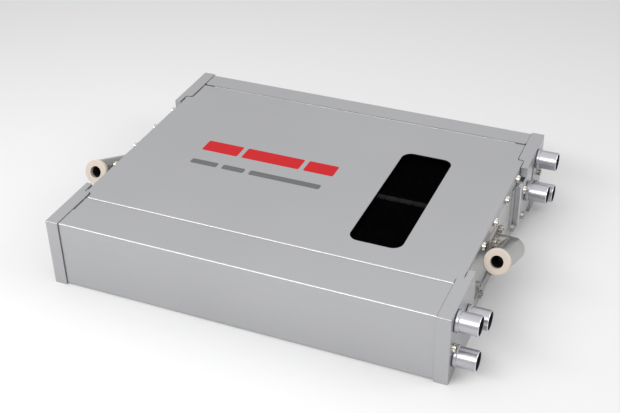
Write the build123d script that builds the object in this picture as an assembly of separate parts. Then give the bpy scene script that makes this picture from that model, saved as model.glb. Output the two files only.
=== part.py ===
from build123d import *
import math
import os

# Fuel cell stack in a flat satin housing, as it comes apart on a bench.  Millimetres.
# X runs along the row of cells, from the left terminal to the right one.
# Y runs from the front cover to the rear cover, and Z is up.
# The origin is the centre of the housing's underside, on the plane of the four cap feet.

# ---------------------------------------------------------------- driving dimensions

HOUSING_LENGTH = 610.0       # over the outer faces of the corner caps, along X
HOUSING_DEPTH = 502.0        # over the front and rear faces of the corner caps, along Y
HOUSING_HEIGHT = 110.0       # over the feet and tops of the corner caps

SHEET = 2.0                  # thickness of every folded cover
BEND = 2.5                   # outside radius of a fold in the sheet
COVER_SET_IN = 2.3           # how far the front and rear covers lie behind the cap faces
COVER_SET_DOWN = 1.0         # how far the covers lie below the cap tops and above their feet
SEAM = 0.7                   # open joint between a cover and a corner cap
FIT = 0.15                   # running clearance between machined pieces
SEAT = 0.3                   # clearance of a soft or pressed piece from its seat

FRONT_STRIP = 72.4           # width of the front cover's top flange
REAR_STRIP = 36.2            # width of the rear cover's top flange
REAR_CORNER = 5.0            # plan radius of the rear flange's free corners
RELIEF_START = 41.7          # where the front cover's side relief begins, from the front
RELIEF_WIDTH = 2.0           # how much wider the seam gets along that relief

CAP_WIDTH = 20.0             # corner cap, full part, along X
CAP_LENGTH = 89.0            # corner cap, full part, along Y
CAP_WALL = 8.0               # corner cap, front or rear wall
CAP_EDGE = 1.2               # round along the cap's outer edges
TONGUE_WIDTH = 10.0          # slim end of the corner cap, along X
TONGUE_LENGTH = 22.0         # slim end of the corner cap, along Y
TONGUE_ROUND = 4.0           # radius of both turns of the step between them

LID_FRONT_GAP = 2.3          # front strip to lid
LID_REAR_GAP = 4.0           # lid to rear strip
LID_SIDE_GAP = 1.0           # lid to the cap tongues
LID_NOTCH_LEFT = 2.4         # lid to the left caps, where it is notched for them
LID_NOTCH_RIGHT = 1.3        # lid to the right caps
LID_NOTCH_END = 1.2          # lid to the step of the cap, along Y
SKIRT_RELIEF = 6.0           # free length at each end of a folded side
LID_SKIRT = 14.0             # height of the lid's folded sides
LID_LIP = 6.5                # height of the lid's folded front
BASE_SKIRT = 22.0            # height of the bottom cover's folded sides

WINDOW_LENGTH = 250.5        # sight window, along Y
WINDOW_WIDTH = 79.5          # sight window, along X
WINDOW_ROUND = 16.0
WINDOW_X = 154.25            # centre of the window
WINDOW_Y = -4.75
PANE_RIM = 6.0               # how far the pane reaches under the lid
PANE_RIM_THICKNESS = 2.0
PANE_SEAL = 1.0              # thickness of the seal between rim and lid

END_PLATE = 25.0             # thickness of the end plates
PLATE_EDGE = 1.0             # chamfer along the end plates' upright edges
END_PLATE_OVER = 4.0         # end plate's top and bottom, from the cap top and the cap foot
PRESSURE_PLATE = 10.0
SPRING_SPACE = 6.0           # room for the disc springs
INSULATOR = 5.0              # thickness of the insulating plates
COLLECTOR = 3.0              # thickness of the copper current collectors
CELL_COUNT = 110
BIPOLAR_PLATE = 3.0          # thickness of one bipolar plate
MEMBRANE = 1.0               # thickness of one framed membrane
CELL_SIDE_ROOM = 14.0        # cell plate's front and rear edges, from the cap faces
CELL_HEADROOM = 10.0         # top of the cells, from the cap tops
CELL_BOTTOM = 9.0            # underside of the cells
COLLECTOR_MARGIN = 86.0      # how much shorter a collector is than the cells, at each end
MEMBRANE_INSET = 1.5         # membrane frame inside the plate's outline

RAIL_WIDTH = 16.0            # bars that carry the edges of strips and lid
RAIL_OVERLAP = 3.5           # how far the rear rails reach under the lid
RAIL_GAP = 1.0               # rails to the cells
BAND_WIDTH = 30.0            # tension bands over and under the cells
BAND_THICKNESS = 3.0
BAND_GAP = 0.5               # bands to the lid key and the tongues' ends, along Y
BAND_SCREW_RADIUS = 2.5
BAND_SCREW_DEPTH = 14.0

CONNECTOR_PITCH = 21.6       # cell voltage connectors in a row along X
CONNECTOR_LENGTH = 20.0
CONNECTOR_WIDTH = 7.0
CONNECTOR_HEIGHT = 3.4
CONNECTOR_Y = -2.0
CONNECTOR_SHIFT = 4.4        # middle connector, to the right of the window's centre

PORT_RADIUS = 14.25          # hose spigot, outside
PORT_BORE = 12.7             # radius of the way through
PORT_REACH = 32.6            # spigot's open end, from the cap's outer face
COLLAR_RADIUS = 16.0
COLLAR_LENGTH = 5.0
COLLAR_EDGE = 0.6            # chamfer on the collar's inner side
COLLAR_SLOPE = 1.2           # length of the cone from the collar down to the tube
PORT_LEAD_IN = 1.0           # chamfer at the open end
PORT_NECK = 13.5             # radius of the part inside the end plate
PORT_NECK_DEPTH = 15.0
GALLERY_RADIUS = 8.0         # gas and coolant ways from the end plate into the cells
GALLERY_EDGE = 4.0           # least wall between a gallery and the cells' outline
GASKET = 1.0                 # flat ring between collar and face
GASKET_INSET = 1.0           # its edge, inside the collar's
# name: distance from the front or rear, height; a height below zero is taken from the cap tops
FRONT_PORTS = {
    "hydrogen_inlet": (25.6, -19.0),
    "coolant_inlet": (77.0, 61.0),
    "air_inlet": (26.0, 31.5),
}
REAR_PORTS = {
    "air_outlet": (43.0, -20.0),
    "coolant_outlet": (96.0, 61.0),
    "hydrogen_outlet": (46.0, 33.0),
}
BLOCK_PORT = "coolant_outlet"

BLOCK_LENGTH = 71.0          # rear port block, along Y
BLOCK_REAR = 62.0            # its rear end, from the rear face
BLOCK_SET_IN = 1.5           # its face, behind the caps' outer faces
BLOCK_TOP = -21.5            # its top, below the cap tops
BLOCK_BOTTOM = 15.0
BLOCK_FOOT = 23.0            # underside of the pad that meets the end plate
BLOCK_PAD_FRONT = 15.0       # how much further forward the pad reaches
BLOCK_GROOVE = 0.8           # groove between block and pad
BLOCK_GROOVE_DEPTH = 1.5
BLOCK_EDGE = 1.5
BLOCK_GAP = 0.8              # block to cap
BLOCK_SCREW_INSET = 12.0     # block screws, from its front end
BLOCK_SCREW_Z = (31.0, -31.5)
CAP_OVER_BLOCK = 16.2        # height that the rear right cap keeps over the block

TERMINAL_Y = 3.5             # axis of the terminal where it leaves the end plate, at mid-height
TERMINAL_RADIUS = 18.0
TERMINAL_OFFSET = 16.0       # axis of the arm, from the cap's outer face
TERMINAL_ARM = 103.8         # from the elbow's corner to the ring's front face
TERMINAL_TILT = 23.7         # arm's rise above level, degrees
TERMINAL_BORE = 9.3          # radius of the cable hole
TERMINAL_BORE_DEPTH = 45.0
TERMINAL_FLANGE = 46.0       # side of the square flange
TERMINAL_FLANGE_THICKNESS = 3.0
TERMINAL_FLANGE_ROUND = 5.0
TERMINAL_SCREW_PITCH = 36.0
RING_RADIUS = 18.8
RING_THICKNESS = 7.0
RING_CHAMFER = 1.0
STUD_RADIUS = 9.0            # copper stud of the current collector
STUD_SOCKET = 8.0            # how far the stud enters the terminal
BUSH_WALL = 3.5
BUSH_FLANGE = 1.5

SCREW_HEAD_RADIUS = 6.0      # low socket head screws of the housing
SCREW_HEAD_HEIGHT = 5.0
SCREW_SHANK_RADIUS = 3.0
SCREW_DEPTH = 14.0
SOCKET_ACROSS = 5.0          # hexagon socket, across flats
SOCKET_DEPTH = 3.0
SIDE_SCREWS = 4
LID_SCREW_Y = -68.0          # first lid screw of a side
LID_SCREW_PITCH = 62.6
BASE_SCREW_Y = -66.5         # first bottom cover screw of a side
BASE_SCREW_PITCH = 59.5
LID_SCREW_DROP = 9.0         # lid screws, below the cap top
BASE_SCREW_RISE = 15.5       # bottom cover screws, above the feet
CAP_SCREW_FRONT = 14.0       # front cap screws, from the front
CAP_SCREW_REAR = 24.0        # rear cap screws, from the rear
WALL_PLUG_Y = -74.7          # plug screw in the right end plate
WALL_PLUG_Z = 37.0

KEY_LENGTH = 25.0            # locating key of the lid, in a slot of its right side
KEY_WIDTH = 6.0
KEY_GAP = 1.5                # its end, from the cap's tongue
KEY_DROP = 8.5               # its centre, below the cap top
KEY_PROUD = 0.8
KEY_SINK = 5.0

FOOT_HOLE_RADIUS = 2.5       # tapped hole in each cap's foot
FOOT_HOLE_DEPTH = 15.0
FOOT_HOLE_INSET = 40.0       # from the front or rear face
FOOT_HOLE_SIDE = 6.0         # from the outer face

SPRING_OUTER = 14.0
SPRING_INNER = 7.2
SPRING_THICKNESS = 2.0
SPRING_PIN = 6.8
SPRING_PIN_SHORT = 2.0       # end of a pin, from the end plate
SPRING_Y = (-160.0, -55.0, 55.0, 160.0)

# ---------------------------------------------------------------- derived places

half_length = HOUSING_LENGTH / 2
half_depth = HOUSING_DEPTH / 2
mid_height = HOUSING_HEIGHT / 2
sheet_top = HOUSING_HEIGHT - COVER_SET_DOWN
sheet_under = sheet_top - SHEET
base_bottom = COVER_SET_DOWN
base_top = base_bottom + SHEET

cap_inner_x = half_length - CAP_WIDTH
tongue_inner_x = half_length - TONGUE_WIDTH
cap_end_y = half_depth - CAP_LENGTH
tongue_end_y = cap_end_y - TONGUE_LENGTH

cover_y = half_depth - COVER_SET_IN
cover_x = cap_inner_x - SEAM
front_strip_y = -cover_y + FRONT_STRIP
rear_strip_y = cover_y - REAR_STRIP

lid_front_y = front_strip_y + LID_FRONT_GAP
lid_rear_y = rear_strip_y - LID_REAR_GAP
lid_x = tongue_inner_x - LID_SIDE_GAP
lid_left_x = -(cap_inner_x - LID_NOTCH_LEFT)
lid_right_x = cap_inner_x - LID_NOTCH_RIGHT
notch_y = cap_end_y - LID_NOTCH_END

wall_x = lid_x - SHEET                       # outer face of the end plates
plate_inner_x = wall_x - END_PLATE
plate_y = half_depth - CAP_WALL - FIT
band_screw_x = wall_x - END_PLATE / 2
plate_bottom = END_PLATE_OVER
plate_top = HOUSING_HEIGHT - END_PLATE_OVER

right_insulator_x = plate_inner_x - INSULATOR
right_collector_x = right_insulator_x - COLLECTOR
pressure_x = -(plate_inner_x - SPRING_SPACE - PRESSURE_PLATE)
left_insulator_x = pressure_x + INSULATOR
left_collector_x = left_insulator_x + COLLECTOR
cell_y = half_depth - CELL_SIDE_ROOM
cell_top = HOUSING_HEIGHT - CELL_HEADROOM
cell_row = right_collector_x - left_collector_x
cell_pitch = (cell_row - BIPOLAR_PLATE) / CELL_COUNT
band_y = tongue_end_y + BAND_GAP + BAND_WIDTH / 2

rail_bottom_z = cell_top + RAIL_GAP
rail_foot_top = CELL_BOTTOM - RAIL_GAP


def height(value):
    """A height above the feet; one below zero is measured down from the cap tops."""
    return value if value > 0 else HOUSING_HEIGHT + value


block_y1 = half_depth - BLOCK_REAR
block_y0 = block_y1 - BLOCK_LENGTH
block_face_x = half_length - BLOCK_SET_IN
block_top = height(BLOCK_TOP)
block_screws_at = [(block_y0 + BLOCK_SCREW_INSET, height(z)) for z in BLOCK_SCREW_Z]

lid_screw_ys = [LID_SCREW_Y + LID_SCREW_PITCH * i for i in range(SIDE_SCREWS)]
base_screw_ys = [BASE_SCREW_Y + BASE_SCREW_PITCH * i for i in range(SIDE_SCREWS)]
lid_screw_z = HOUSING_HEIGHT - LID_SCREW_DROP
half_screw = TERMINAL_SCREW_PITCH / 2
terminal_screws = [
    (TERMINAL_Y + sy * half_screw, mid_height + sz * half_screw)
    for sy in (-1, 1)
    for sz in (-1, 1)
]
cap_screw_ys = (-half_depth + CAP_SCREW_FRONT, half_depth - CAP_SCREW_REAR)
arm_x = half_length + TERMINAL_OFFSET
key_y = -(tongue_end_y - KEY_GAP - KEY_LENGTH / 2)

front_ports = {
    n: (-half_depth + d, height(z), half_length) for n, (d, z) in FRONT_PORTS.items()
}
rear_ports = {n: (half_depth - d, height(z), half_length) for n, (d, z) in REAR_PORTS.items()}
block_y, block_z, _ = rear_ports[BLOCK_PORT]
rear_ports[BLOCK_PORT] = (block_y, block_z, block_face_x)
ports = {**front_ports, **rear_ports}

# ---------------------------------------------------------------- helpers


def block(x0, x1, y0, y1, z0, z1):
    """A box between two corners."""
    centre = ((x0 + x1) / 2, (y0 + y1) / 2, (z0 + z1) / 2)
    return Pos(*centre) * Box(abs(x1 - x0), abs(y1 - y0), abs(z1 - z0))


def rod_x(x0, x1, y, z, radius):
    """A cylinder along X."""
    return Pos((x0 + x1) / 2, y, z) * Rot(0, 90, 0) * Cylinder(radius, abs(x1 - x0))


def rod_z(x, y, z0, z1, radius):
    """A cylinder along Z."""
    return Pos(x, y, (z0 + z1) / 2) * Cylinder(radius, abs(z1 - z0))


def edges_at(shape, axis, **at):
    """Edges along an axis whose centre lies at the given coordinates."""
    found = shape.edges().filter_by(axis)
    for name, value in at.items():
        found = found.filter_by(lambda e: abs(getattr(e.center(), name) - value) < 0.01)
    return found


def mirror_x(shape):
    """The same piece for the other end of the housing."""
    return mirror(shape, about=Plane.YZ)


def low_screw(face_x, y, z, depth=SCREW_DEPTH):
    """A low socket head screw that seats on a face towards +X."""
    head = rod_x(face_x, face_x + SCREW_HEAD_HEIGHT, y, z, SCREW_HEAD_RADIUS)
    shank = rod_x(face_x - depth, face_x, y, z, SCREW_SHANK_RADIUS)
    hexagon = RegularPolygon(SOCKET_ACROSS / 2, 6, major_radius=False)
    mouth = Plane(origin=(face_x + SCREW_HEAD_HEIGHT, y, z), z_dir=(-1, 0, 0))
    return head + shank - extrude(mouth * hexagon, amount=SOCKET_DEPTH)


def tapped(face_x, y, z):
    """The hole for a low screw, with room past its end."""
    return rod_x(face_x - SCREW_DEPTH - 1, face_x + 1, y, z, SCREW_SHANK_RADIUS + FIT)


def edges_outward(shape):
    """The edges of a shape's outermost face towards +X."""
    return shape.faces().sort_by(Axis.X)[-1].edges()


def group(*solids):
    """Several separate solids that share one node."""
    return Compound(children=[s if isinstance(s, Solid) else s.solid() for s in solids])


def save(shape, name):
    export_step(shape, f"parts/{name}.step")


# ---------------------------------------------------------------- folded covers


def cover_plan():
    """Plan of the lid: full width between the tongues, notched round the four caps."""
    left, right = lid_left_x, lid_right_x
    outline = make_face(Polyline(
        (left, lid_front_y), (right, lid_front_y), (right, -notch_y), (lid_x, -notch_y),
        (lid_x, notch_y), (right, notch_y), (right, lid_rear_y), (left, lid_rear_y),
        (left, notch_y), (-lid_x, notch_y), (-lid_x, -notch_y), (left, -notch_y),
        close=True,
    ))
    steps = [v for v in outline.vertices() if abs(abs(v.Y) - notch_y) < 0.01]
    outer = [v for v in steps if abs(abs(v.X) - lid_x) < 0.01]
    outline = fillet(outer, TONGUE_ROUND - LID_SIDE_GAP)
    inner = [
        v for v in outline.vertices()
        if abs(abs(v.Y) - notch_y) < 0.01 and (abs(v.X - left) < 0.01 or abs(v.X - right) < 0.01)
    ]
    return fillet(inner, TONGUE_ROUND + LID_NOTCH_END)


def fold_y(side, y0, y1):
    """What the fold of a side skirt takes off the sheet's square edge."""
    x0 = side * (lid_x - BEND)
    z0 = sheet_top - BEND
    square = block(x0, side * (lid_x + 1), y0, y1, z0, sheet_top + 1)
    return square - Pos(x0, (y0 + y1) / 2, z0) * Rot(90, 0, 0) * Cylinder(BEND, y1 - y0 + 2)


def fold_x(x0, x1):
    """What the fold of the front lip takes off the sheet's square edge."""
    y0 = lid_front_y + BEND
    z0 = sheet_top - BEND
    square = block(x0, x1, lid_front_y - 1, y0, z0, sheet_top + 1)
    return square - rod_x(x0 - 1, x1 + 1, y0, z0, BEND)


def folded_panel(skirt):
    """A flat sheet with folded sides and a folded front lip, as the lid and the bottom have."""
    panel = Pos(0, 0, sheet_under) * extrude(cover_plan(), amount=SHEET)
    skirt_y = notch_y - SKIRT_RELIEF
    front_y1 = lid_front_y + SHEET
    for side in (-1, 1):
        panel += block(
            side * wall_x, side * lid_x, -skirt_y, skirt_y, sheet_top - skirt, sheet_top
        )
        panel -= fold_y(side, -skirt_y, skirt_y)
    panel += block(
        lid_left_x, lid_right_x, lid_front_y, front_y1, plate_top + FIT, sheet_top
    )
    lip_x = plate_inner_x - SEAT
    panel += block(-lip_x, lip_x, lid_front_y, front_y1, sheet_top - LID_LIP, sheet_top)
    return panel - fold_x(lid_left_x - 1, lid_right_x + 1)


def window_outline(grow):
    """Rounded window plan, larger by grow on every side."""
    return Pos(WINDOW_X, WINDOW_Y) * RectangleRounded(
        WINDOW_WIDTH + 2 * grow, WINDOW_LENGTH + 2 * grow, WINDOW_ROUND + grow
    )


def window_prism(grow, z0, z1):
    return Pos(0, 0, z0) * extrude(window_outline(grow), amount=z1 - z0)


def slot_prism(x0, x1, grow):
    """The lid key's rounded outline, as a prism along X."""
    face = Plane(origin=(x0, key_y, HOUSING_HEIGHT - KEY_DROP), x_dir=(0, 1, 0), z_dir=(1, 0, 0))
    return extrude(face * SlotOverall(KEY_LENGTH + 2 * grow, KEY_WIDTH + 2 * grow), amount=x1 - x0)


def make_top_cover():
    lid = folded_panel(LID_SKIRT)
    lid -= window_prism(0, sheet_under - 1, sheet_top + 1)
    for y in lid_screw_ys:
        lid -= rod_x(-lid_x - 1, lid_x + 1, y, lid_screw_z, SCREW_SHANK_RADIUS + SEAT)
    lid -= slot_prism(wall_x - 1, lid_x + 1, FIT)
    return lid


def make_bottom_cover():
    tray = mirror(folded_panel(BASE_SKIRT), about=Plane.XY.offset(HOUSING_HEIGHT / 2))
    for y in base_screw_ys:
        tray -= rod_x(-lid_x - 1, lid_x + 1, y, BASE_SCREW_RISE, SCREW_SHANK_RADIUS + SEAT)
    return tray


def channel_cover(strip):
    """A cover of channel section, open to the rear, with its face towards the front."""
    shell = block(-cover_x, cover_x, -cover_y, -cover_y + strip, base_bottom, sheet_top)
    shell -= block(
        -cover_x - 1, cover_x + 1, -cover_y + SHEET, -cover_y + strip + 1, base_top, sheet_under
    )
    folds = edges_at(shell, Axis.X, Y=-cover_y, Z=sheet_top)
    folds += edges_at(shell, Axis.X, Y=-cover_y, Z=base_bottom)
    return fillet(folds, BEND)


def make_front_cover():
    shell = channel_cover(FRONT_STRIP)
    shell -= block(
        -cover_x - 1, -cover_x + RELIEF_WIDTH,
        -half_depth + RELIEF_START, front_strip_y + 1, sheet_under - 1, sheet_top + 1,
    )
    return shell


def make_rear_cover():
    shell = mirror(channel_cover(REAR_STRIP), about=Plane.XZ)
    free_corners = [
        e for e in shell.edges().filter_by(Axis.Z)
        if abs(e.center().Y - rear_strip_y) < 0.01 and e.length < 2 * SHEET
    ]
    return fillet(free_corners, REAR_CORNER)


# ---------------------------------------------------------------- corner caps


def cap_plan():
    """Plan of the front right cap: full part, S-shaped step and tongue."""
    plan = Polyline(
        (cap_inner_x, -half_depth), (half_length, -half_depth), (half_length, -tongue_end_y),
        (tongue_inner_x, -tongue_end_y), (tongue_inner_x, -cap_end_y), (cap_inner_x, -cap_end_y),
        close=True,
    )
    face = make_face(plan)
    turns = [
        v for v in face.vertices()
        if abs(v.Y + cap_end_y) < 0.01
    ]
    return fillet(turns, TONGUE_ROUND)


def corner_cap():
    """The front right cap: walls and lips round the corner of the end plate."""
    cap = extrude(cap_plan(), amount=HOUSING_HEIGHT)
    cap = fillet(edges_at(cap, Axis.Z, X=half_length, Y=-half_depth), CAP_EDGE)
    top_edges = [
        e for e in cap.edges()
        if abs(e.center().Z - HOUSING_HEIGHT) < 0.01
        and (abs(e.center().Y + half_depth) < 0.5 or abs(e.center().X - half_length) < 0.5)
    ]
    cap = fillet(top_edges, CAP_EDGE)
    cap -= block(
        cap_inner_x - 1, wall_x + FIT, -plate_y - FIT, half_depth,
        plate_bottom - FIT, plate_top + FIT,
    )
    foot_x = half_length - FOOT_HOLE_SIDE
    cap -= rod_z(foot_x, -half_depth + FOOT_HOLE_INSET, -1, FOOT_HOLE_DEPTH, FOOT_HOLE_RADIUS)
    return cap


def drill_cap(cap, screw_y, openings):
    cap -= rod_x(wall_x - 1, half_length + 1, screw_y, mid_height, SCREW_SHANK_RADIUS + SEAT)
    for y, z, _ in openings:
        cap -= rod_x(wall_x - 1, half_length + 1, y, z, PORT_RADIUS + SEAT)
    return cap


def make_corner_caps():
    front_right = corner_cap()
    rear_right = mirror(front_right, about=Plane.XZ)
    front_y, rear_y = cap_screw_ys
    caps = {
        "front_left_cap": drill_cap(mirror_x(front_right), front_y, []),
        "rear_left_cap": drill_cap(mirror_x(rear_right), rear_y, []),
        "front_right_cap": drill_cap(front_right, front_y, front_ports.values()),
        "rear_right_cap": drill_cap(
            rear_right, rear_y, [p for n, p in rear_ports.items() if n != BLOCK_PORT]
        ),
    }
    caps["rear_right_cap"] -= block(
        wall_x - 1, half_length + 1, tongue_end_y - 1, block_y1 + BLOCK_GAP,
        -1, HOUSING_HEIGHT - CAP_OVER_BLOCK,
    )
    for name in ("front_left_cap", "rear_left_cap"):
        y = front_y if name.startswith("front") else rear_y
        caps[name] -= rod_x(
            -half_length - 1, -wall_x + 1, y, mid_height, SCREW_SHANK_RADIUS + SEAT
        )
    return caps


# ---------------------------------------------------------------- end plates and what they hold


def end_plate():
    """The right end plate, without its ports: grooves for the bands, tapped holes, stud hole."""
    plate = block(plate_inner_x, wall_x, -plate_y, plate_y, plate_bottom, plate_top)
    plate = chamfer(plate.edges().filter_by(Axis.Z), PLATE_EDGE)
    for side in (-1, 1):
        y0 = side * band_y - BAND_WIDTH / 2 - FIT
        y1 = side * band_y + BAND_WIDTH / 2 + FIT
        groove_x = wall_x + 1
        plate -= block(
            plate_inner_x - 1, groove_x, y0, y1, plate_top - BAND_THICKNESS, plate_top + 1
        )
        plate -= block(
            plate_inner_x - 1, groove_x, y0, y1, plate_bottom - 1, plate_bottom + BAND_THICKNESS
        )
        band_floor = plate_top - BAND_THICKNESS
        plate -= rod_z(
            band_screw_x, side * band_y, band_floor - BAND_SCREW_DEPTH - 1, band_floor + 1,
            BAND_SCREW_RADIUS + FIT,
        )
        plate -= rod_z(
            band_screw_x, side * band_y, plate_bottom - 1,
            plate_bottom + BAND_THICKNESS + BAND_SCREW_DEPTH + 1, BAND_SCREW_RADIUS + FIT,
        )
    for y in lid_screw_ys:
        plate -= tapped(wall_x, y, lid_screw_z)
    for y in base_screw_ys:
        plate -= tapped(wall_x, y, BASE_SCREW_RISE)
    for y in cap_screw_ys:
        plate -= tapped(wall_x, y, mid_height)
    for y, z in terminal_screws:
        plate -= tapped(wall_x, y, z)
    plate -= rod_x(
        plate_inner_x - 1, wall_x + 1, TERMINAL_Y, mid_height, STUD_RADIUS + BUSH_WALL + FIT
    )
    return plate


def gallery_z(port_z):
    """Height of a port's gallery, kept inside the cells' outline."""
    room = GALLERY_RADIUS + GALLERY_EDGE
    return min(max(port_z, CELL_BOTTOM + room), cell_top - room)


def make_end_plate_right():
    plate = end_plate()
    for y, z, _ in ports.values():
        plate -= rod_x(wall_x - PORT_NECK_DEPTH, wall_x + 1, y, z, PORT_NECK + FIT)
        plate -= rod_x(plate_inner_x - 1, wall_x, y, gallery_z(z), GALLERY_RADIUS)
    plate -= tapped(wall_x, WALL_PLUG_Y, WALL_PLUG_Z)
    for y, z in block_screws_at:
        plate -= tapped(wall_x, y, z)
    plate -= slot_prism(wall_x - KEY_SINK, wall_x + 1, FIT)
    return plate


def stack_plate(x0, x1, bore, shrink=0.0):
    """A plate of the cells' outline, with a hole round the stud."""
    plate = block(
        x0, x1, shrink - cell_y, cell_y - shrink, CELL_BOTTOM + shrink, cell_top - shrink
    )
    if bore:
        plate -= rod_x(min(x0, x1) - 1, max(x0, x1) + 1, TERMINAL_Y, mid_height, bore)
    return plate


def make_insulator(x0, x1, openings):
    plate = stack_plate(x0, x1, STUD_RADIUS + SEAT)
    for y, z, _ in openings:
        plate -= rod_x(x0 - 1, x1 + 1, y, gallery_z(z), GALLERY_RADIUS)
    return plate


def collector(face_x, inner_x, side):
    """A copper plate with the stud that carries the current out through the end plate."""
    half = cell_y - COLLECTOR_MARGIN
    plate = block(inner_x, face_x, -half, half, CELL_BOTTOM, cell_top)
    stud = rod_x(face_x, side * (wall_x + BUSH_FLANGE + STUD_SOCKET), TERMINAL_Y, mid_height,
                 STUD_RADIUS)
    return plate + stud


def make_bipolar_plates():
    return [
        stack_plate(x, x + BIPOLAR_PLATE, 0)
        for x in [left_collector_x + cell_pitch * i for i in range(CELL_COUNT + 1)]
    ]


def make_membranes():
    gap = cell_pitch - BIPOLAR_PLATE
    start = left_collector_x + BIPOLAR_PLATE + (gap - MEMBRANE) / 2
    return [
        stack_plate(x, x + MEMBRANE, 0, MEMBRANE_INSET)
        for x in [start + cell_pitch * i for i in range(CELL_COUNT)]
    ]


def make_pressure_plate():
    plate = stack_plate(pressure_x - PRESSURE_PLATE, pressure_x, STUD_RADIUS + SEAT + BUSH_WALL)
    for y in SPRING_Y:
        pin_x = pressure_x - PRESSURE_PLATE
        plate += rod_x(
            pin_x - SPRING_SPACE + SPRING_PIN_SHORT, pin_x, y, (CELL_BOTTOM + cell_top) / 2, SPRING_PIN
        )
    return plate


def disc_spring(y):
    """A conical washer between the end plate and the pressure plate."""
    x_out = -plate_inner_x
    x_in = pressure_x - PRESSURE_PLATE
    profile = Polyline(
        (x_out, SPRING_INNER), (x_out + SPRING_THICKNESS, SPRING_INNER),
        (x_in, SPRING_OUTER), (x_in - SPRING_THICKNESS, SPRING_OUTER), close=True,
    )
    face = make_face(profile)
    return Pos(0, y, (CELL_BOTTOM + cell_top) / 2) * revolve(face, Axis.X)


def make_rails():
    """Bars along the strips' edges: they carry strips and lid, top and bottom."""
    front_y1 = lid_front_y - SEAT
    front_y0 = front_y1 - RAIL_WIDTH
    rear_y0 = lid_rear_y - RAIL_OVERLAP
    rear_y1 = rear_y0 + RAIL_WIDTH + RAIL_OVERLAP
    x = plate_inner_x
    return {
        "front_top_rail": block(-x, x, front_y0, front_y1, rail_bottom_z, sheet_under),
        "rear_top_rail": block(-x, x, rear_y0, rear_y1, rail_bottom_z, sheet_under),
        "front_bottom_rail": block(-x, x, front_y0, front_y1, base_top, rail_foot_top),
        "rear_bottom_rail": block(-x, x, rear_y0, rear_y1, base_top, rail_foot_top),
    }


def tension_band(y, z0, z1):
    """A flat band from end plate to end plate."""
    band = block(-wall_x, wall_x, y - BAND_WIDTH / 2, y + BAND_WIDTH / 2, z0, z1)
    for side in (-1, 1):
        band -= rod_z(side * band_screw_x, y, z0 - 1, z1 + 1, BAND_SCREW_RADIUS + FIT)
    return band


def make_tension_bands():
    bands = []
    for y in (-band_y, band_y):
        bands.append(tension_band(y, plate_top - BAND_THICKNESS, plate_top))
        bands.append(tension_band(y, plate_bottom, plate_bottom + BAND_THICKNESS))
    return bands


def make_band_screws():
    screws = []
    for side in (-1, 1):
        for y in (-band_y, band_y):
            x = side * band_screw_x
            top = plate_top - BAND_THICKNESS
            foot = plate_bottom + BAND_THICKNESS
            screws.append(rod_z(x, y, top - BAND_SCREW_DEPTH, plate_top, BAND_SCREW_RADIUS))
            screws.append(rod_z(x, y, plate_bottom, foot + BAND_SCREW_DEPTH, BAND_SCREW_RADIUS))
    return screws


def make_monitor_connectors():
    """Cell voltage connectors on the plates' upper edges, as many as the row holds."""
    middle_x = WINDOW_X + CONNECTOR_SHIFT
    to_left = (middle_x - left_collector_x - CONNECTOR_LENGTH / 2) // CONNECTOR_PITCH
    to_right = (right_collector_x - middle_x - CONNECTOR_LENGTH / 2) // CONNECTOR_PITCH
    row = []
    for i in range(-int(to_left), int(to_right) + 1):
        x = middle_x + CONNECTOR_PITCH * i
        row.append(block(
            x - CONNECTOR_LENGTH / 2, x + CONNECTOR_LENGTH / 2,
            CONNECTOR_Y - CONNECTOR_WIDTH / 2, CONNECTOR_Y + CONNECTOR_WIDTH / 2,
            cell_top, cell_top + CONNECTOR_HEIGHT,
        ))
    return row


# ---------------------------------------------------------------- window


def make_window_pane():
    pane_step = sheet_under - PANE_SEAL
    pane = window_prism(-SEAT, pane_step, sheet_top)
    return pane + window_prism(PANE_RIM, pane_step - PANE_RIM_THICKNESS, pane_step)


def make_window_seal():
    seal = window_prism(PANE_RIM, sheet_under - PANE_SEAL, sheet_under)
    return seal - window_prism(-SEAT + FIT, sheet_under - PANE_SEAL - 1, sheet_under + 1)


# ---------------------------------------------------------------- ports and terminals


def hose_port(y, z, face_x):
    """A hose spigot: neck in the end plate, collar on the face, plain tube with a lead-in."""
    collar_x = face_x + GASKET
    end_x = half_length + PORT_REACH
    neck_x = wall_x - PORT_NECK_DEPTH
    outline = Polyline(
        (neck_x, PORT_BORE), (neck_x, PORT_NECK), (collar_x, PORT_NECK),
        (collar_x, COLLAR_RADIUS - COLLAR_EDGE), (collar_x + COLLAR_EDGE, COLLAR_RADIUS),
        (collar_x + COLLAR_LENGTH - COLLAR_SLOPE, COLLAR_RADIUS),
        (collar_x + COLLAR_LENGTH, PORT_RADIUS), (end_x - PORT_LEAD_IN, PORT_RADIUS),
        (end_x, PORT_RADIUS - PORT_LEAD_IN / 2), (end_x, PORT_BORE), close=True,
    )
    return Pos(0, y, z) * revolve(make_face(outline), Axis.X)


def port_gasket(y, z, face_x):
    ring = rod_x(face_x, face_x + GASKET, y, z, COLLAR_RADIUS - GASKET_INSET)
    return ring - rod_x(face_x - 1, face_x + GASKET + 1, y, z, PORT_NECK + SEAT)


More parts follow.
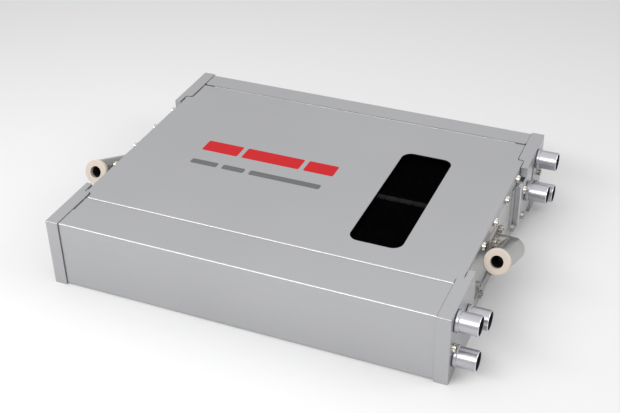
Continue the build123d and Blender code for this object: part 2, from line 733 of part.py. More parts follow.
def make_port_block():
    """Block under the rear cap's tongue that carries the coolant outlet, with its pad."""
    groove_x = tongue_inner_x - BLOCK_GROOVE
    body = block(tongue_inner_x, block_face_x, block_y0, block_y1, BLOCK_BOTTOM, block_top)
    body = chamfer(edges_outward(body), BLOCK_EDGE)
    body += block(
        groove_x, tongue_inner_x, block_y0 + BLOCK_GROOVE_DEPTH, block_y1 - BLOCK_GROOVE_DEPTH,
        BLOCK_FOOT + BLOCK_GROOVE_DEPTH, block_top - BLOCK_GROOVE_DEPTH,
    )
    body += block(
        wall_x, groove_x, block_y0 - BLOCK_PAD_FRONT, block_y1, BLOCK_FOOT, block_top
    )
    y, z, _ = rear_ports[BLOCK_PORT]
    body -= rod_x(wall_x - 1, block_face_x + 1, y, z, PORT_NECK + SEAT)
    for screw_y, screw_z in block_screws_at:
        body -= rod_x(wall_x - 1, block_face_x + 1, screw_y, screw_z, SCREW_SHANK_RADIUS + SEAT)
    return body


def terminal_frame(shape):
    """Tilts a piece of the arm up and sets it at the elbow's corner."""
    return Pos(arm_x, TERMINAL_Y, mid_height) * Rot(-TERMINAL_TILT, 0, 0) * shape


def rod_y(y0, y1, radius):
    return Pos(0, (y0 + y1) / 2, 0) * Rot(90, 0, 0) * Cylinder(radius, abs(y1 - y0))


def elbow_leg(length, corner):
    """Half of the elbow: a round bar along -X with a ball end at the corner, cut to a mitre."""
    radius = TERMINAL_RADIUS
    outline = Polyline((radius, 0), (-length, 0), (-length, radius), (0, radius))
    outline += CenterArc((0, 0), radius, 0, 90)
    leg = revolve(make_face(outline), Axis.X)
    return split(leg, bisect_by=Plane(origin=(0, 0, 0), z_dir=(1, -corner, 0)), keep=Keep.BOTTOM)


def make_terminal():
    """Right power terminal: square flange, short run, elbow, tilted arm with a cable hole."""
    flange_x0 = wall_x + BUSH_FLANGE
    flange_x1 = flange_x0 + TERMINAL_FLANGE_THICKNESS
    face = Plane(origin=(flange_x0, TERMINAL_Y, mid_height), x_dir=(0, 1, 0), z_dir=(1, 0, 0))
    square = RectangleRounded(TERMINAL_FLANGE, TERMINAL_FLANGE, TERMINAL_FLANGE_ROUND)
    flange = extrude(face * square, amount=TERMINAL_FLANGE_THICKNESS)
    arm_length = TERMINAL_ARM - RING_THICKNESS
    run = elbow_leg(arm_x - flange_x1, 1)
    arm = Rot(0, 0, 90) * elbow_leg(arm_length, -1)
    hole = rod_y(-arm_length - 1, -TERMINAL_ARM + TERMINAL_BORE_DEPTH, TERMINAL_BORE)
    body = flange + terminal_frame(run + arm - hole)
    body -= rod_x(
        flange_x0 - 1, flange_x0 + STUD_SOCKET, TERMINAL_Y, mid_height, STUD_RADIUS + FIT
    )
    for y, z in terminal_screws:
        body -= rod_x(flange_x0 - 1, flange_x1 + 1, y, z, SCREW_SHANK_RADIUS + SEAT)
    return body


def make_terminal_ring():
    ring = rod_y(-TERMINAL_ARM, -TERMINAL_ARM + RING_THICKNESS, RING_RADIUS)
    ring = chamfer(ring.edges().sort_by(Axis.Y)[0], RING_CHAMFER)
    ring -= rod_y(-TERMINAL_ARM - 1, -TERMINAL_ARM + RING_THICKNESS + 1, TERMINAL_BORE)
    return terminal_frame(ring)


def make_terminal_bush():
    """Top-hat insulator: sleeve round the stud, square washer under the flange."""
    face = Plane(origin=(wall_x, TERMINAL_Y, mid_height), x_dir=(0, 1, 0), z_dir=(1, 0, 0))
    square = RectangleRounded(TERMINAL_FLANGE, TERMINAL_FLANGE, TERMINAL_FLANGE_ROUND)
    bush = extrude(face * square, amount=BUSH_FLANGE)
    bush += rod_x(plate_inner_x, wall_x, TERMINAL_Y, mid_height, STUD_RADIUS + BUSH_WALL)
    bush -= rod_x(
        plate_inner_x - 1, wall_x + BUSH_FLANGE + 1, TERMINAL_Y, mid_height, STUD_RADIUS + FIT
    )
    for y, z in terminal_screws:
        bush -= rod_x(wall_x - 1, wall_x + BUSH_FLANGE + 1, y, z, SCREW_SHANK_RADIUS + SEAT)
    return bush


# ---------------------------------------------------------------- screws and key


def side_screws():
    lid_row = [low_screw(lid_x, y, lid_screw_z) for y in lid_screw_ys]
    base_row = [low_screw(lid_x, y, BASE_SCREW_RISE) for y in base_screw_ys]
    return lid_row + base_row


def terminal_screw_set():
    face_x = wall_x + BUSH_FLANGE + TERMINAL_FLANGE_THICKNESS
    return [low_screw(face_x, y, z) for y, z in terminal_screws]


def cap_screws():
    depth = half_length - wall_x + SCREW_DEPTH / 2
    right = [low_screw(half_length, y, mid_height, depth=depth) for y in cap_screw_ys]
    return right + [mirror_x(s) for s in right]


def block_screws():
    depth = block_face_x - wall_x + SCREW_DEPTH / 2
    return [low_screw(block_face_x, y, z, depth=depth) for y, z in block_screws_at]


# ---------------------------------------------------------------- build and save

os.makedirs("parts", exist_ok=True)

save(make_top_cover(), "top_cover")
save(make_bottom_cover(), "bottom_cover")
save(make_front_cover(), "front_cover")
save(make_rear_cover(), "rear_cover")
for cap_name, cap_shape in make_corner_caps().items():
    save(cap_shape, cap_name)
for rail_name, rail in make_rails().items():
    save(rail, rail_name)

save(make_window_pane(), "window_pane")
save(make_window_seal(), "window_seal")
save(group(*make_monitor_connectors()), "monitor_connectors")

save(make_end_plate_right(), "end_plate_right")
save(mirror_x(end_plate()), "end_plate_left")
save(group(*make_tension_bands()), "tension_bands")
save(group(*make_band_screws()), "tension_band_screws")
save(make_pressure_plate(), "pressure_plate")
save(group(*[disc_spring(y) for y in SPRING_Y]), "disc_springs")
save(make_insulator(right_insulator_x, plate_inner_x, ports.values()), "insulator_plate_right")
save(make_insulator(pressure_x, left_insulator_x, []), "insulator_plate_left")
save(collector(right_insulator_x, right_collector_x, 1), "current_collector_right")
save(collector(left_insulator_x, left_collector_x, -1), "current_collector_left")
save(group(*make_bipolar_plates()), "bipolar_plates")
save(group(*make_membranes()), "membranes")

save(make_port_block(), "rear_port_block")
for port_name, place in ports.items():
    save(hose_port(*place), port_name)
save(group(*[port_gasket(*place) for place in ports.values()]), "port_gaskets")

for side_name, place_side in (("right", lambda s: s), ("left", mirror_x)):
    save(place_side(make_terminal()), f"terminal_{side_name}")
    save(place_side(make_terminal_ring()), f"terminal_ring_{side_name}")
    save(place_side(make_terminal_bush()), f"terminal_bush_{side_name}")
    save(group(*[place_side(s) for s in side_screws()]), f"side_screws_{side_name}")
    save(group(*[place_side(s) for s in terminal_screw_set()]), f"terminal_screws_{side_name}")

save(group(*cap_screws()), "cap_screws")
save(group(*block_screws()), "port_block_screws")
save(low_screw(wall_x, WALL_PLUG_Y, WALL_PLUG_Z), "plug_screw")
save(slot_prism(wall_x - KEY_SINK + FIT, lid_x + KEY_PROUD, 0), "lid_key")
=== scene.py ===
# %% [markdown]
# # A fuel cell stack in a satin housing
# The solids of the stack are already modelled at their real size. This lesson dresses them:
# it gives every piece the finish that such hardware has, adds the small repeated details that
# are too fine for the solids, and sets up a bright product studio around the result.
# Everything is in metres, in the frame of the solids: X along the cells, Y to the rear, Z up.

import math

import bmesh
import bpy
from mathutils import Matrix, Vector


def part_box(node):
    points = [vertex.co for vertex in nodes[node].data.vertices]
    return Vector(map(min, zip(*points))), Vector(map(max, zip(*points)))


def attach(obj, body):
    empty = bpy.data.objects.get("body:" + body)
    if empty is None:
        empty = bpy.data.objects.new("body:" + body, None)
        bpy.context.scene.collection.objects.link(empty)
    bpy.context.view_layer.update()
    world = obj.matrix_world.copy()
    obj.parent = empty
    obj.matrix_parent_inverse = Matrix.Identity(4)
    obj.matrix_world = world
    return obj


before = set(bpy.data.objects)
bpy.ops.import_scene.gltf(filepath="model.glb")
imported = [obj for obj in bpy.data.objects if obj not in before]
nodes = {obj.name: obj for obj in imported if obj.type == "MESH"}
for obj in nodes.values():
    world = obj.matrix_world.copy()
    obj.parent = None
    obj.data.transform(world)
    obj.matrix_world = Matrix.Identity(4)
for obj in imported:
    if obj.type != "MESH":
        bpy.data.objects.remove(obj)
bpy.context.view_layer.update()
print("pieces in the frame:", len(nodes))


def places(name):
    """Lowest and highest corner of a node, as vectors."""
    low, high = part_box(name)
    return Vector(low), Vector(high)


housing_top = places("front_right_cap")[1].z
print("housing height:", round(housing_top, 4))

# %% [markdown]
# ## The camera
# A product picture is remembered by its point of view, so the camera comes first. It stands
# to the right of the front cover and looks down on the housing with a long lens, which keeps
# the long edges nearly parallel. A tiny roll tips the picture the way a hand-set tripod does.

# %% Camera
CAMERA_PLACE = Vector((0.59307, -1.34537, 1.03368))
CAMERA_TARGET = Vector((0.00340, -0.00129, 0.055))
CAMERA_ROLL = math.radians(-1.2466)
CAMERA_LENS = 66.27
SENSOR_WIDTH = 36.0

camera_data = bpy.data.cameras.new("studio_camera")
camera_data.lens = CAMERA_LENS
camera_data.sensor_width = SENSOR_WIDTH
camera_data.clip_end = 20.0
camera = bpy.data.objects.new("studio_camera", camera_data)
bpy.context.scene.collection.objects.link(camera)
aim = (CAMERA_TARGET - CAMERA_PLACE).to_track_quat("-Z", "Y").to_matrix().to_4x4()
camera.matrix_world = Matrix.Translation(CAMERA_PLACE) @ aim @ Matrix.Rotation(CAMERA_ROLL, 4, "Z")
bpy.context.scene.camera = camera
print("camera distance:", round((CAMERA_TARGET - CAMERA_PLACE).length, 3))

# %% [markdown]
# ## Writing materials as sums
# A finish is easier to read as an expression than as a list of linked boxes. `Value` wraps one
# output socket and turns `+ - * / **` and comparisons into Math nodes, also with the number on
# the left. `Nodes` has the single method that makes any node, in a material or in geometry,
# and `Finish` is a material built with it.

# %% Shader helpers


class Value:
    """A number that varies over the surface: arithmetic on it adds Math nodes."""

    def __init__(self, finish, socket):
        self.finish = finish
        self.socket = socket

    def math(self, operation, *others):
        node = self.finish.node("ShaderNodeMath", {"operation": operation}, [self, *others])
        return Value(self.finish, node.outputs[0])

    def reversed_math(self, operation, first):
        node = self.finish.node("ShaderNodeMath", {"operation": operation}, [first, self])
        return Value(self.finish, node.outputs[0])

    def __add__(self, other):
        return self.math("ADD", other)

    def __sub__(self, other):
        return self.math("SUBTRACT", other)

    def __mul__(self, other):
        return self.math("MULTIPLY", other)

    def __truediv__(self, other):
        return self.math("DIVIDE", other)

    def __pow__(self, other):
        return self.math("POWER", other)

    def __lt__(self, other):
        return self.math("LESS_THAN", other)

    def __gt__(self, other):
        return self.math("GREATER_THAN", other)

    def __rsub__(self, other):
        return self.reversed_math("SUBTRACT", other)

    __radd__ = __add__

    def __abs__(self):
        return self.math("ABSOLUTE")

    def at_least(self, floor):
        return self.math("MAXIMUM", floor)

    def at_most(self, ceiling):
        return self.math("MINIMUM", ceiling)

    def clamped(self):
        return self.at_least(0.0).at_most(1.0)


class Nodes:
    """A node tree under construction, with one method for every kind of node."""

    def __init__(self, tree):
        self.tree = tree

    def node(self, kind, settings=None, inputs=()):
        """Makes a node, applies its settings, then fills its sockets with values or links."""
        made = self.tree.nodes.new(kind)
        for name, setting in (settings or {}).items():
            setattr(made, name, setting)
        pairs = inputs.items() if isinstance(inputs, dict) else enumerate(inputs)
        for socket, value in pairs:
            self.feed(made.inputs[socket], value)
        return made

    def feed(self, socket, value):
        if isinstance(value, Value):
            value = value.socket
        if isinstance(value, bpy.types.NodeSocket):
            self.tree.links.new(value, socket)
        else:
            socket.default_value = value


class Finish(Nodes):
    """A material: a Principled shader fed by values over the surface."""

    def __init__(self, name, **shader_values):
        self.material = bpy.data.materials.new(name)
        self.material.use_nodes = True
        super().__init__(self.material.node_tree)
        self.shader = self.tree.nodes["Principled BSDF"]
        self.position = self.node("ShaderNodeTexCoord").outputs["Object"]
        self.set(**shader_values)

    def set(self, **values):
        """Fills sockets of the shader, named in lower case with underlines."""
        for name, value in values.items():
            socket = name.replace("_", " ").title().replace("Ior", "IOR")
            self.feed(self.shader.inputs[socket], value)

    def axis(self, letter):
        """One coordinate of the surface point, in metres."""
        split = self.node("ShaderNodeSeparateXYZ", inputs=[self.position])
        return Value(self, split.outputs["XYZ".index(letter)])

    def noise(self, scale, detail=2.0, stretch=(1.0, 1.0, 1.0)):
        """Smooth noise about 0.5; scale is in cells a metre, stretch per axis."""
        mapped = self.node("ShaderNodeMapping", inputs={"Vector": self.position, "Scale": stretch})
        made = self.node("ShaderNodeTexNoise", inputs={
            "Vector": mapped.outputs[0], "Scale": scale, "Detail": detail,
        })
        return Value(self, made.outputs[0])

    def mix(self, factor, first, second):
        """A colour between two colours; 6, 7 and 2 are the Mix node's colour sockets."""
        made = self.node("ShaderNodeMix", {"data_type": "RGBA"}, {0: factor, 6: first, 7: second})
        return made.outputs[2]

    def bump(self, height, strength, distance):
        """Relief from a value; the distance is its depth in metres."""
        made = self.node("ShaderNodeBump", inputs={
            "Height": height, "Strength": strength, "Distance": distance,
        })
        self.feed(self.shader.inputs["Normal"], made.outputs[0])
        return self


def rgb(red, green, blue):
    """A colour in linear light, opaque."""
    return (red, green, blue, 1.0)


print("helpers ready")

# %% [markdown]
# ## Satin silver paint
# The covers and caps wear the same metallic paint. Tiny flakes lie just under a satin lacquer,
# so the colour sparkles a little close up and looks even from afar. Three layers of noise do
# it: a fine one for the flakes, a middle one for the spray's soft orange peel, and a very broad
# one for the drift of tone across a large flat panel.

# %% Satin paint
PAINT_DARK = rgb(0.415, 0.417, 0.428)
PAINT_LIGHT = rgb(0.465, 0.467, 0.478)
PAINT_METAL = 0.72
LACQUER_SHINE = 0.25
FLAKE_SCALE = 2600.0
PEEL_SCALE = 420.0
DRIFT_SCALE = 5.0


def satin_paint(name):
    """The paint, and its colour as a socket, so that print can be laid over it."""
    paint = Finish(name, metallic=PAINT_METAL, specular_ior_level=LACQUER_SHINE)
    flakes = paint.noise(FLAKE_SCALE, detail=1.0)
    peel = paint.noise(PEEL_SCALE, detail=2.0)
    drift = paint.noise(DRIFT_SCALE, detail=1.0)
    tone = (drift - 0.5) * 0.9 + (flakes - 0.5) * 0.7 + 0.5
    colour = paint.mix(tone.clamped(), PAINT_DARK, PAINT_LIGHT)
    paint.set(base_color=colour, roughness=(peel - 0.5) * 0.05 + (flakes - 0.5) * 0.08 + 0.33)
    paint.bump(peel * 0.7 + flakes * 0.3, 0.05, 0.0004)
    return paint, colour


case_paint, _ = satin_paint("satin_silver")
print("satin paint:", len(case_paint.tree.nodes), "nodes")

# %% [markdown]
# ## The printed fields on the lid
# Screen print sits on the paint as a thin layer of one flat colour, with less metal in it. It
# is drawn here inside the lid's own material: a rounded bar is the set of points whose distance
# to a shorter bar is under the corner radius, which is three lines of arithmetic on X and Y.
# The bars are plain fields of colour, one row in red and one in grey.

# %% Lid with printed bars
RED_PRINT = rgb(0.520, 0.002, 0.006)
GREY_PRINT = rgb(0.130, 0.132, 0.137)
PRINT_METAL = 0.30
PRINT_EDGE = 0.0004
PRINT_CORNER = 0.0035
PRINT_LEFT = -0.1880
PRINT_DEPTH = 0.0016
RED_ROW = {"centre": 0.0270, "height": 0.0300, "lengths": (0.062, 0.098, 0.050), "gap": 0.0070}
GREY_ROW = {"centre": -0.0225, "height": 0.0130, "lengths": (0.046, 0.038, 0.118), "gap": 0.0080}


def rounded_bar(finish, centre_x, centre_y, length, height):
    """1 inside a bar with rounded corners on the lid's plane, 0 outside."""
    over_x = abs(finish.axis("X") - centre_x) - (length / 2 - PRINT_CORNER)
    over_y = abs(finish.axis("Y") - centre_y) - (height / 2 - PRINT_CORNER)
    distance = (over_x.at_least(0.0) ** 2 + over_y.at_least(0.0) ** 2) ** 0.5
    return ((PRINT_CORNER - distance) / PRINT_EDGE).clamped()


def print_row(finish, row):
    """The bars of one row, side by side from the left."""
    left = PRINT_LEFT
    mask = None
    for length in row["lengths"]:
        bar = rounded_bar(finish, left + length / 2, row["centre"], length, row["height"])
        mask = bar if mask is None else mask.at_least(bar)
        left += length + row["gap"]
    return mask


lid_paint, lid_colour = satin_paint("satin_silver_printed")
top_only = lid_paint.axis("Z") > housing_top - PRINT_DEPTH
red_mask = print_row(lid_paint, RED_ROW) * top_only
grey_mask = print_row(lid_paint, GREY_ROW) * top_only
with_red = lid_paint.mix(red_mask, lid_colour, RED_PRINT)
with_grey = lid_paint.mix(grey_mask, with_red, GREY_PRINT)
ink = red_mask.at_least(grey_mask)
lid_paint.set(base_color=with_grey, metallic=PAINT_METAL - ink * (PAINT_METAL - PRINT_METAL))
print("lid material:", len(lid_paint.tree.nodes), "nodes")

# %% [markdown]
# ## Bare metals
# Four kinds of bare metal show: milled end plates, turned spigots, nickel plated screws and the
# satin terminals. All are metallic, and differ in how rough they are and in the marks that the
# tool left. Turning leaves fine rings, so its noise is squeezed along the spigot's axis.
# Milling leaves faint streaks along one direction.

# %% Metal finishes
TURNED_RINGS = (1500.0, 12.0, 12.0)
MILLED_STREAKS = (30.0, 60.0, 1400.0)


def milled_plate():
    """Streaks of the mill along Y and X, over broad patches of tone."""
    metal = Finish("milled_aluminium", metallic=1.0)
    streaks = metal.noise(1.0, detail=3.0, stretch=MILLED_STREAKS)
    patches = metal.noise(18.0)
    metal.set(
        base_color=metal.mix(patches, rgb(0.56, 0.565, 0.575), rgb(0.66, 0.665, 0.672)),
        roughness=0.30 + streaks * 0.12,
    )
    return metal.bump(streaks, 0.06, 0.0003)


def plated_screw():
    """Shiny and a little yellow, with small stains."""
    metal = Finish("bright_nickel", metallic=1.0)
    stains = metal.noise(260.0, detail=3.0)
    metal.set(
        base_color=metal.mix(stains, rgb(0.52, 0.495, 0.44), rgb(0.64, 0.615, 0.565)),
        roughness=0.13 + stains * 0.10,
    )
    return metal


print("metal finishes ready")

# %% [markdown]
# ## Tubes with painted shade inside
# A spigot is bright outside and swallows the light inside. A ray tracer would need many bounces
# to find that darkness, so the same material paints that shade: it turns to a dull, nearly black
# one wherever the point is nearer to the tube's axis than its wall. The distance to an
# axis is the length of a cross product, so it works for the tilted arms too.

# %% Bore masks and tube finishes
SPIGOT_BORE = 0.0127
CABLE_BORE = 0.0093
BORE_MARGIN = 0.00012
# Painted shade: the nearly black colour of the inside of a bore.
BORE_PAINTED_SHADE = rgb(0.006, 0.006, 0.006)
BORE_DULLNESS = 0.5


def inside_bore(finish, point, direction, radius):
    """1 where the surface is nearer to the axis than the radius, 0 elsewhere."""
    offset = finish.node(
        "ShaderNodeVectorMath", {"operation": "SUBTRACT"}, [finish.position, tuple(point)]
    )
    crossed = finish.node(
        "ShaderNodeVectorMath", {"operation": "CROSS_PRODUCT"},
        [offset.outputs[0], tuple(direction)],
    )
    length = finish.node("ShaderNodeVectorMath", {"operation": "LENGTH"}, [crossed.outputs[0]])
    return Value(finish, length.outputs["Value"]) < radius + BORE_MARGIN


def metal_with_painted_bore_shade(name, point, direction, radius, light, dark, rough, stretch):
    """Bare metal outside; inside the bore, dull and a painted, nearly black shade."""
    metal = Finish(name)
    rings = metal.noise(1.0, detail=2.0, stretch=stretch)
    patches = metal.noise(35.0)
    bore_shade_mask = inside_bore(metal, point, direction, radius)
    outside = metal.mix(patches, dark, light)
    metal.set(
        # Painted shade: nearly black and not metallic inside the bore.
        base_color=metal.mix(bore_shade_mask, outside, BORE_PAINTED_SHADE),
        metallic=1.0 - bore_shade_mask,
        roughness=(rough + rings * 0.06) + bore_shade_mask * BORE_DULLNESS,
    )
    return metal.bump(rings * (1.0 - bore_shade_mask), 0.03, 0.0002)


print("bore masks ready")

# %% [markdown]
# ## Pressing the finishes onto the pieces
# Each solid keeps its shape and only changes its material. The rules below go from the name of
# a node to its finish, so a reader can see at a glance what is painted and what is bare.

# %% Plain finishes


def plain_finish(name, dark, light, rough, scale, metallic=0.0):
    """A finish of two close tones, with a little relief."""
    made = Finish(name, metallic=metallic)
    grain = made.noise(scale, detail=3.0)
    made.set(base_color=made.mix(grain, dark, light), roughness=rough + (grain - 0.5) * 0.12)
    return made.bump(grain, 0.05, 0.0003)


milled = milled_plate()
nickel = plated_screw()
rubber = plain_finish("black_rubber", rgb(0.012, 0.012, 0.012), rgb(0.03, 0.03, 0.03), 0.7, 500.0)
graphite = plain_finish("graphite", rgb(0.004, 0.004, 0.005), rgb(0.010, 0.010, 0.011), 0.55, 220.0)
film = plain_finish("membrane_frame", rgb(0.004, 0.004, 0.004), rgb(0.010, 0.010, 0.009), 0.55, 90.0)
board = plain_finish("fibre_board", rgb(0.42, 0.36, 0.20), rgb(0.56, 0.49, 0.30), 0.6, 300.0)
copper = plain_finish(
    "bare_copper", rgb(0.66, 0.30, 0.18), rgb(0.80, 0.42, 0.27), 0.3, 60.0, metallic=1.0
)
connector_plastic = plain_finish(
    "connector_plastic", rgb(0.64, 0.68, 0.74), rgb(0.76, 0.80, 0.86), 0.4, 600.0
)
beige = plain_finish("beige_insulator", rgb(0.52, 0.445, 0.385), rgb(0.59, 0.51, 0.445), 0.42, 70.0)

FINISH_BY_NODE = {
    "top_cover": lid_paint,
    "window_seal": rubber,
    "port_gaskets": rubber,
    "bipolar_plates": graphite,
    "membranes": film,
    "insulator_plate_left": board,
    "insulator_plate_right": board,
    "current_collector_left": copper,
    "current_collector_right": copper,
    "monitor_connectors": connector_plastic,
    "terminal_ring_left": beige,
    "terminal_ring_right": beige,
    "terminal_bush_left": beige,
    "terminal_bush_right": beige,
    "plug_screw": nickel,
    "lid_key": nickel,
    "disc_springs": nickel,
    "tension_bands": nickel,
}


def finish_for(name):
    """Named nodes first, then paint on covers and caps, and bare metal on the rest."""
    if name in FINISH_BY_NODE:
        return FINISH_BY_NODE[name]
    if name.endswith(("_cover", "_cap")):
        return case_paint
    if "screws" in name:
        return nickel
    return milled


def wear(name, finish):
    """Puts a finish in every material slot of a node."""
    for slot in nodes[name].material_slots:
        slot.material = finish.material


for node_name in nodes:
    wear(node_name, finish_for(node_name))
print("dressed:", len(nodes), "nodes")

# %% [markdown]
# ## Spigots and terminals
# Every spigot has its own axis, so each gets its own copy of the turned finish, made by a loop.
# The terminals are darker, a plated casting that has been handled, and their cable hole runs
# along the tilted arm, through the middle of the ring on its end.

# %% Spigot and terminal finishes
TERMINAL_TILT = math.radians(23.7)
SPIGOTS = [n for n in nodes if n.endswith(("_inlet", "_outlet"))]
ARM_DIRECTION = Vector((0.0, -math.cos(TERMINAL_TILT), math.sin(TERMINAL_TILT)))
CAST_GRAIN = (60.0, 60.0, 60.0)

for spigot in SPIGOTS:
    low, high = places(spigot)
    turned = metal_with_painted_bore_shade(
        "turned_" + spigot, (low + high) / 2, Vector((1, 0, 0)), SPIGOT_BORE,
        rgb(0.55, 0.55, 0.585), rgb(0.48, 0.48, 0.515), 0.30, TURNED_RINGS,
    )
    wear(spigot, turned)

# The cable hole of each terminal gets the same painted shade inside.
for side in ("left", "right"):
    low, high = places("terminal_ring_" + side)
    plated = metal_with_painted_bore_shade(
        "plated_terminal_" + side, (low + high) / 2, ARM_DIRECTION, CABLE_BORE,
        rgb(0.42, 0.41, 0.39), rgb(0.34, 0.335, 0.32), 0.20, CAST_GRAIN,
    )
    wear("terminal_" + side, plated)
print("spigots:", len(SPIGOTS))

# %% [markdown]
# ## The sight window
# The pane is smoked plastic with a coating that keeps reflections away. It looks black, because
# the cells under it are black, but the pale row of cell connectors still shows through. One
# constant opacity does both, and it costs far less than real refraction.

# %% Window pane
PANE_OPACITY = 0.62

smoked = Finish("smoked_pane", roughness=0.05, specular_ior_level=0.0, alpha=PANE_OPACITY)
haze = smoked.noise(9.0)
smoked.set(base_color=smoked.mix(haze, rgb(0.0002, 0.0002, 0.0003), rgb(0.0008, 0.0008, 0.001)))
wear("window_pane", smoked)
print("pane dressed")

# %% [markdown]
# ## Small repeated details
# The heads of the socket screws are knurled so that fingers can start them, the spigots end in
# a rolled lip, and every cell connector carries two rows of contact pins. Each is one rule
# repeated many times, which is what Geometry Nodes are for. A `Pattern` is a tree with named
# sizes. `grow` feeds it a cloud of points, keeps the result as a plain mesh, and lets the mesh
# ride with the stack.

# %% Geometry Nodes helpers


class Pattern(Nodes):
    """A Geometry Nodes tree with named sizes as its inputs."""

    def __init__(self, name, **sizes):
        super().__init__(bpy.data.node_groups.new(name, "GeometryNodeTree"))
        self.interface = self.tree.interface
        self.add_socket("Points", "NodeSocketGeometry")
        self.identifiers = {}
        for size, usual in sizes.items():
            whole = isinstance(usual, int)
            socket = self.add_socket(size, "NodeSocketInt" if whole else "NodeSocketFloat")
            socket.default_value = usual
            self.identifiers[size] = socket.identifier
        self.interface.new_socket("Result", in_out="OUTPUT", socket_type="NodeSocketGeometry")
        self.given = self.node("NodeGroupInput").outputs

    def add_socket(self, name, kind):
        """One more input of the tree."""
        return self.interface.new_socket(name, in_out="INPUT", socket_type=kind)

    def combine(self, *parts):
        """A vector from three numbers or sockets."""
        return self.node("ShaderNodeCombineXYZ", inputs=parts).outputs[0]

    def on_points(self, points, instance, rotation):
        """Copies of one shape on every point."""
        return self.node("GeometryNodeInstanceOnPoints", inputs={
            "Points": points, "Instance": instance, "Rotation": rotation,
        }).outputs[0]

    def finish(self, instances, material):
        """Turns the copies into real faces and dresses them."""
        real = self.node("GeometryNodeRealizeInstances", inputs=[instances]).outputs[0]
        dressed = self.node(
            "GeometryNodeSetMaterial", inputs={"Geometry": real, "Material": material}
        )
        self.node("NodeGroupOutput", inputs=[dressed.outputs[0]])


def grow(pattern, name, points, slot, **sizes):
    """Makes a plain mesh of the pattern on a list of points."""
    cloud = bpy.data.meshes.new(name + "_points")
    cloud.from_pydata([tuple(p) for p in points], [], [])
    seed = bpy.data.objects.new(name + "_points", cloud)
    bpy.context.scene.collection.objects.link(seed)
    modifier = seed.modifiers.new("pattern", "NODES")
    modifier.node_group = pattern.tree
    for size, value in sizes.items():
        modifier[pattern.identifiers[size]] = value
    evaluated = seed.evaluated_get(bpy.context.evaluated_depsgraph_get())
    plain = bpy.data.meshes.new_from_object(evaluated)
    piece = bpy.data.objects.new(name, plain)
    bpy.data.objects.remove(seed)
    bpy.context.scene.collection.objects.link(piece)
    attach(piece, "root")
    print(name, "faces:", len(plain.polygons))


def islands(name):
    """The box of every separate solid in a node, as pairs of corners."""
    mesh = bmesh.new()
    mesh.from_mesh(nodes[name].data)
    bmesh.ops.remove_doubles(mesh, verts=mesh.verts, dist=1e-6)
    unseen = set(mesh.verts)
    boxes = []
    while unseen:
        border = [unseen.pop()]
        low, high = border[0].co.copy(), border[0].co.copy()
        while border:
            vertex = border.pop()
            low = Vector(map(min, low, vertex.co))
            high = Vector(map(max, high, vertex.co))
            near = {edge.other_vert(vertex) for edge in vertex.link_edges} & unseen
            unseen -= near
            border += near
        boxes.append((low, high))
    mesh.free()
    return sorted(boxes, key=lambda box: tuple(box[0]))


print("patterns ready")

# %% [markdown]
# ## Knurled screw heads
# All the screws that show lie along X. A wheel of ribs is made once, on a circle round its own
# axis, and a copy of the wheel goes round every head.

# %% Knurls
RIB_COUNT = 30
RIB_DEPTH = 0.0004
RIB_WIDTH = 0.0006
HEAD_RADIUS = 0.006
HEAD_HEIGHT = 0.005
RIB_LENGTH = 0.0032
QUARTER_TURN = math.pi / 2

knurl = Pattern(
    "knurl", Count=RIB_COUNT, Radius=HEAD_RADIUS, Depth=RIB_DEPTH, Width=RIB_WIDTH,
    Length=RIB_LENGTH,
)
rim = knurl.node(
    "GeometryNodeMeshCircle",
    inputs={"Vertices": knurl.given["Count"], "Radius": knurl.given["Radius"]},
).outputs[0]
rib_size = knurl.combine(knurl.given["Depth"], knurl.given["Width"], knurl.given["Length"])
rib = knurl.node("GeometryNodeMeshCube", inputs={"Size": rib_size}).outputs[0]
outward = knurl.node("FunctionNodeAlignRotationToVector", {"axis": "X"}, {
    "Vector": knurl.node("GeometryNodeInputPosition").outputs[0],
}).outputs[0]
wheel = knurl.on_points(rim, rib, outward)
knurl.finish(
    knurl.on_points(knurl.given["Points"], wheel, (0.0, QUARTER_TURN, 0.0)), nickel.material
)


def head_centres(name):
    """The middle of every screw head in a node; heads point away from the housing."""
    centres = []
    for low, high in islands(name):
        side = 1.0 if high.x > 0.0 else -1.0
        centre = (low + high) / 2
        centre.x = (high.x if side > 0.0 else low.x) - side * HEAD_HEIGHT / 2
        centres.append(centre)
    return centres


KNURLED = [
    "side_screws_left", "side_screws_right", "cap_screws", "terminal_screws_left",
    "terminal_screws_right", "port_block_screws",
]
for node_name in KNURLED:
    grow(knurl, node_name + "_knurl", head_centres(node_name), "nickel_steel")

# %% [markdown]
# ## Rolled lips on the spigots
# The open end of each spigot is rolled to a round bead, which catches one bright line of light.

# %% Lips
SPIGOT_RADIUS = 0.01425
LIP_RADIUS = (SPIGOT_RADIUS - SPIGOT_BORE) / 2
LIP_STEPS = 96
BEAD_STEPS = 12

lip = Pattern("rolled_lip", Radius=SPIGOT_RADIUS - LIP_RADIUS, Bead=LIP_RADIUS)
path = lip.node("GeometryNodeCurvePrimitiveCircle", inputs={
    "Resolution": LIP_STEPS, "Radius": lip.given["Radius"],
}).outputs[0]
section = lip.node("GeometryNodeCurvePrimitiveCircle", inputs={
    "Resolution": BEAD_STEPS, "Radius": lip.given["Bead"],
}).outputs[0]
bead = lip.node("GeometryNodeCurveToMesh", inputs={
    "Curve": path, "Profile Curve": section,
}).outputs[0]
polished = plain_finish(
    "polished_lip", rgb(0.74, 0.74, 0.76), rgb(0.84, 0.84, 0.86), 0.16, 80.0, metallic=1.0
)
lip.finish(
    lip.on_points(lip.given["Points"], bead, (0.0, QUARTER_TURN, 0.0)), polished.material
)


def spigot_end(name):
    """Centre of the bead at a spigot's open end."""
    low, high = places(name)
    centre = (low + high) / 2
    centre.x = high.x - LIP_RADIUS
    return centre


grow(lip, "spigot_lips", [spigot_end(name) for name in SPIGOTS], "turned_aluminium")

# %% [markdown]
# ## Contact pins under the window
# The cell voltage connectors stand in one row under the pane. Two lines of pins run along the
# top of every connector, one pin for each cell it reads.

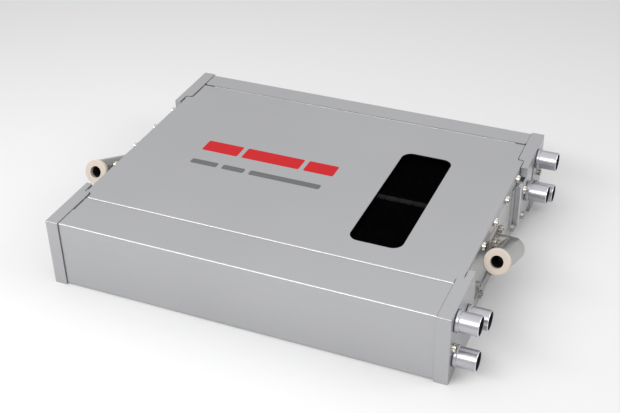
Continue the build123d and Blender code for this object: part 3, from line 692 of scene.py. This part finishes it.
# %% Pins
PIN_COUNT = 7
PIN_THICKNESS = 0.0008
PIN_HEIGHT = 0.0006
USUAL_PITCH = 0.0025
PIN_LINES = (0.3, 0.7)
NO_TURN = (0.0, 0.0, 0.0)

pins = Pattern("pin_row", Count=PIN_COUNT, Pitch=USUAL_PITCH, Thickness=PIN_THICKNESS)
step = pins.combine(pins.given["Pitch"], 0.0, 0.0)
line = pins.node("GeometryNodeMeshLine", inputs={
    "Count": pins.given["Count"], "Offset": step,
}).outputs[0]
pin_size = pins.combine(pins.given["Thickness"], pins.given["Thickness"], PIN_HEIGHT)
pin = pins.node("GeometryNodeMeshCube", inputs={"Size": pin_size}).outputs[0]
row = pins.on_points(line, pin, NO_TURN)
pins.finish(pins.on_points(pins.given["Points"], row, NO_TURN), nickel.material)

row_starts = []
for low, high in islands("monitor_connectors"):
    pitch = (high.x - low.x) / (PIN_COUNT + 1)
    for share in PIN_LINES:
        across = low.y + (high.y - low.y) * share
        row_starts.append(Vector((low.x + pitch, across, high.z)))
grow(pins, "connector_pins", row_starts, "nickel_steel", Pitch=pitch)

# %% [markdown]
# ## The studio
# A pale floor and a white surround give the even, high key light of a product picture. The
# surround is brighter overhead than at the horizon, so a flat lid gets darker towards its rear.
# The floor's colour carries a painted pool of light: it is palest in front and darkens outwards. One
# wide softbox in front and a little to the left draws the bright lines on the folds and a soft
# shadow, and a broad panel at the right lifts the side with the spigots.

# %% Floor, surround and lights
FLOOR_SIZE = 8.0
SKY_LOW = 0.56
SKY_HIGH = 1.04
SKY_RISE = (0.3, 0.75)
# Painted light: the paper's colour inside a pool of light in front and outside it, a painted
# falloff.
PAPER_IN_LIGHT_POOL = 0.68
PAPER_OUTSIDE_LIGHT_POOL = 0.50
LIGHT_POOL_CENTRE = (-0.25, -0.15)
LIGHT_POOL_START = 0.4
LIGHT_POOL_WIDTH = 1.5

floor_mesh = bpy.data.meshes.new("studio_floor")
half = FLOOR_SIZE / 2
floor_mesh.from_pydata(
    [(-half, -half, 0.0), (half, -half, 0.0), (half, half, 0.0), (-half, half, 0.0)],
    [], [(0, 1, 2, 3)],
)
floor = bpy.data.objects.new("studio_floor", floor_mesh)
bpy.context.scene.collection.objects.link(floor)
paper = Finish("studio_paper", roughness=0.9)
# Painted light pool: the floor colour is palest near the pool's centre and darkens outwards.
from_x = paper.axis("X") - LIGHT_POOL_CENTRE[0]
from_y = paper.axis("Y") - LIGHT_POOL_CENTRE[1]
away = ((from_x ** 2 + from_y ** 2) ** 0.5 - LIGHT_POOL_START) * (1 / LIGHT_POOL_WIDTH)
near, far = (rgb(shade, shade, shade) for shade in (PAPER_IN_LIGHT_POOL, PAPER_OUTSIDE_LIGHT_POOL))
paper.set(base_color=paper.mix(away.clamped(), near, far))
floor_mesh.materials.append(paper.material)

surround = bpy.data.worlds.new("studio_surround")
surround.use_nodes = True
sky = Nodes(surround.node_tree)
direction = sky.node("ShaderNodeTexCoord").outputs["Generated"]
upward = sky.node("ShaderNodeSeparateXYZ", inputs=[direction]).outputs["Z"]
brightness = sky.node("ShaderNodeMapRange", inputs={
    "Value": upward, "From Min": SKY_RISE[0], "From Max": SKY_RISE[1],
    "To Min": SKY_LOW, "To Max": SKY_HIGH,
})
backdrop = surround.node_tree.nodes["Background"]
sky.feed(backdrop.inputs["Color"], rgb(1.0, 1.0, 1.0))
sky.feed(backdrop.inputs["Strength"], brightness.outputs[0])
bpy.context.scene.world = surround


def softbox(name, place, target, width, depth, power):
    """Hangs a rectangular light aimed at a point; power is in watts."""
    data = bpy.data.lights.new(name, "AREA")
    data.shape = "RECTANGLE"
    data.size = width
    data.size_y = depth
    data.energy = power
    lamp = bpy.data.objects.new(name, data)
    lamp.location = place
    aimed = Vector(target) - Vector(place)
    lamp.rotation_euler = aimed.to_track_quat("-Z", "Y").to_euler()
    bpy.context.scene.collection.objects.link(lamp)


softbox("key_softbox", (-0.45, -1.45, 1.40), (0.0, -0.1, 0.1), 2.2, 0.45, 27.0)
softbox("side_panel", (2.0, 0.3, 1.3), (0.45, 0.0, 0.0), 1.3, 1.3, 14.0)
bpy.context.scene.view_settings.view_transform = "Standard"
